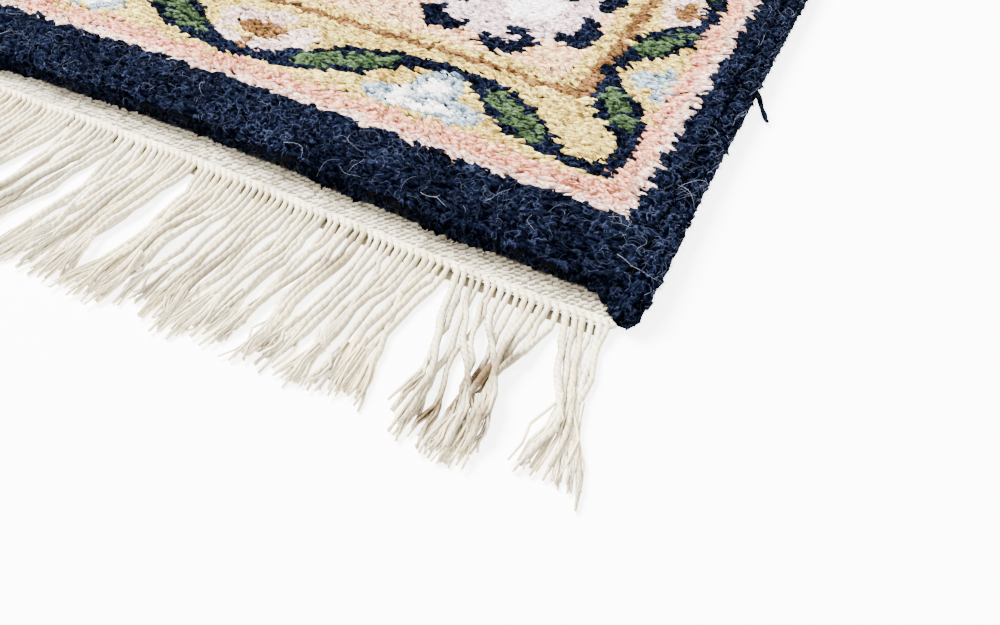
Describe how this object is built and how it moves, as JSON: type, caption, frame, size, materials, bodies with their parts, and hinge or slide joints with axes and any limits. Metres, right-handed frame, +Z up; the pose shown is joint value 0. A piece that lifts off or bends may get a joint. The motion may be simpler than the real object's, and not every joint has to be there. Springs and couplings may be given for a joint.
{
  "type": "oriental rug",
  "caption": "Small hand-knotted wool rug, laid flat, with a navy guard border, a flowered vine border, overcast sides, flat woven ends and cotton fringes.",
  "frame": {"origin": "centre of the rug's bounding box, on the floor under it", "axes": "+Z up out of the pile, +Y along the rug's length, +X across it; the pictured corner is at +X, -Y"},
  "size_m": [0.6014, 1.0462, 0.011],
  "materials": {
    "pile_wool": "cut wool pile in several dyed colours",
    "edge_wool": "navy wool yarn, overcast",
    "cotton_weave": "undyed cotton, flat woven",
    "cotton_string": "undyed plied cotton warp strings"
  },
  "bodies": {
    "root": {"pile_panel": "pile_wool", "kilim_south": "cotton_weave", "kilim_north": "cotton_weave", "selvedge_east": "edge_wool", "selvedge_west": "edge_wool", "fringe_south": "cotton_string", "fringe_north": "cotton_string"}
  },
  "joints": []
}
